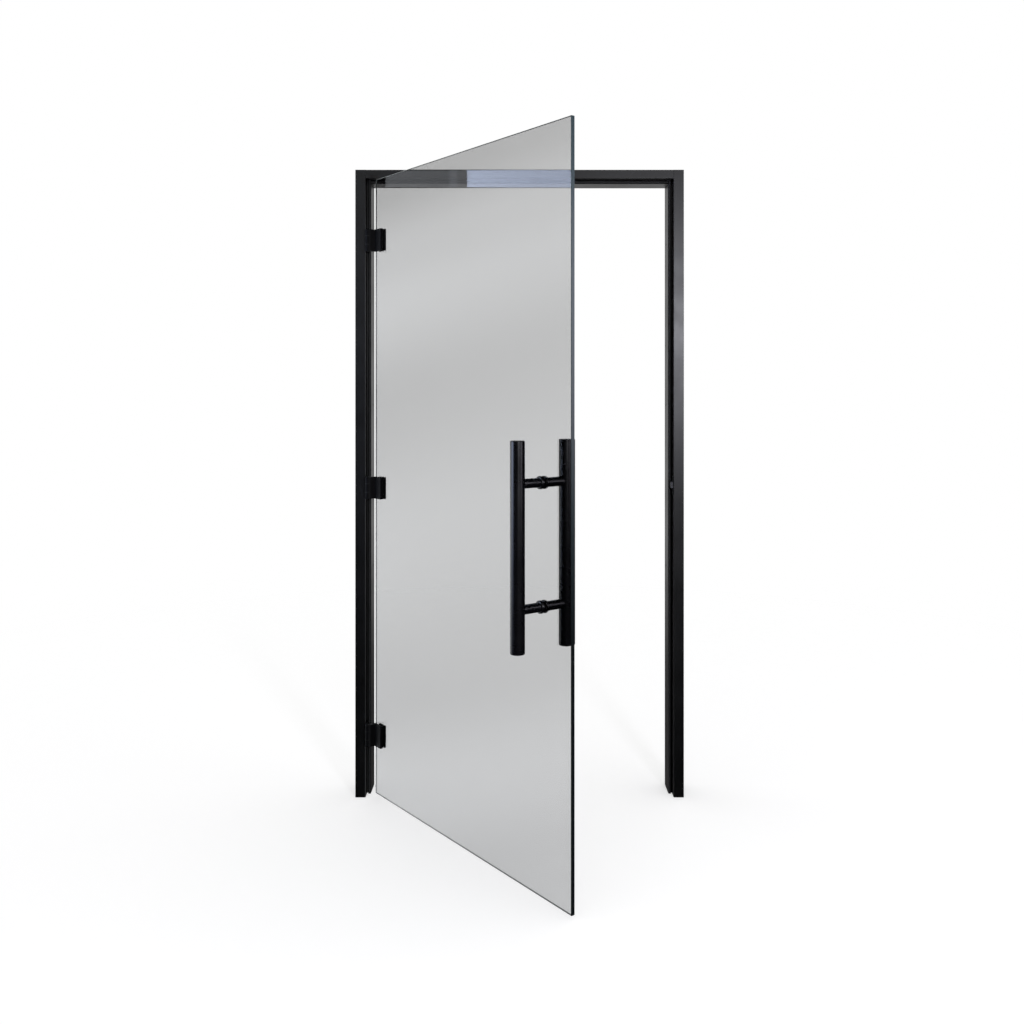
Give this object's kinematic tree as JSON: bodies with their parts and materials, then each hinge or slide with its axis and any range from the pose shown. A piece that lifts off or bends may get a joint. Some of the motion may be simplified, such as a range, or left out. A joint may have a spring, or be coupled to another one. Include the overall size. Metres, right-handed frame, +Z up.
{
  "type": "glass door with frame",
  "caption": "Grey-tinted frameless glass door leaf on block hinges in a black rebated metal frame with no threshold, with a back-to-back tubular pull and a sprung roller catch.",
  "frame": {"origin": "On the floor, midway between the jambs, in the plane of the frame's front face.", "axes": "X to the right seen from the side that the leaf opens to, Y away from that side, Z up."},
  "size_m": [1.064, 0.8908, 2.032],
  "materials": {
    "black_frame": "satin black powder coat on extruded aluminium",
    "black_steel": "satin black coat on steel",
    "black_screws": "blackened steel",
    "zinc_steel": "zinc-plated steel",
    "seal_rubber": "extruded black rubber",
    "tinted_glass": "toughened glass tinted grey, with ground and polished edges",
    "black_plastic": "moulded black plastic",
    "grey_nylon": "turned dark grey nylon"
  },
  "bodies": {
    "frame": {"hinge_jamb": "black_frame", "strike_jamb": "black_frame", "header": "black_frame", "upper_hinge_frame_leaf": "black_steel", "middle_hinge_frame_leaf": "black_steel", "lower_hinge_frame_leaf": "black_steel", "catch_housing": "black_steel", "hinge_frame_screws": "black_screws", "catch_screws": "black_screws", "upper_hinge_pin": "black_screws", "middle_hinge_pin": "black_screws", "lower_hinge_pin": "black_screws", "header_screws": "zinc_steel", "hinge_nut_plates": "zinc_steel", "catch_spring": "zinc_steel", "hinge_jamb_seal": "seal_rubber", "strike_jamb_seal": "seal_rubber", "header_seal": "seal_rubber"},
    "leaf": {"upper_hinge_glass_leaf": "black_steel", "middle_hinge_glass_leaf": "black_steel", "lower_hinge_glass_leaf": "black_steel", "upper_hinge_clamp_plate": "black_steel", "middle_hinge_clamp_plate": "black_steel", "lower_hinge_clamp_plate": "black_steel", "front_pull_bar": "black_steel", "rear_pull_bar": "black_steel", "bar_end_caps": "black_steel", "front_posts": "black_steel", "rear_posts": "black_steel", "post_collars": "black_steel", "upper_hinge_clamp_screws": "black_screws", "middle_hinge_clamp_screws": "black_screws", "lower_hinge_clamp_screws": "black_screws", "grub_screws": "black_screws", "through_studs": "zinc_steel", "glass_panel": "tinted_glass", "hinge_gaskets": "black_plastic", "hinge_sleeves": "black_plastic", "hinge_bushes": "black_plastic", "glass_washers": "black_plastic", "glass_bushings": "black_plastic"},
    "catch_plunger": {"catch_plunger": "black_steel", "catch_roller_pin": "zinc_steel"},
    "catch_roller": {"catch_roller": "grey_nylon"}
  },
  "joints": [
    {"name": "leaf_swing", "type": "hinge", "parent": "frame", "child": "leaf", "pos_m": [-0.4907, -0.012, 0], "axis": [0, 0, -1], "range_deg": [-52.8, 57.2]},
    {"name": "catch_slide", "type": "slide", "parent": "frame", "child": "catch_plunger", "axis": [1, 0, 0], "range_m": [0, 0.005], "stiffness_N_per_m": 2000, "springref_m": -0.002, "deforming": ["catch_spring"]},
    {"name": "roller_spin", "type": "hinge", "parent": "catch_plunger", "child": "catch_roller", "pos_m": [0.4965, 0.0115, 1.011], "axis": [0, 0, 1], "continuous": true}
  ]
}
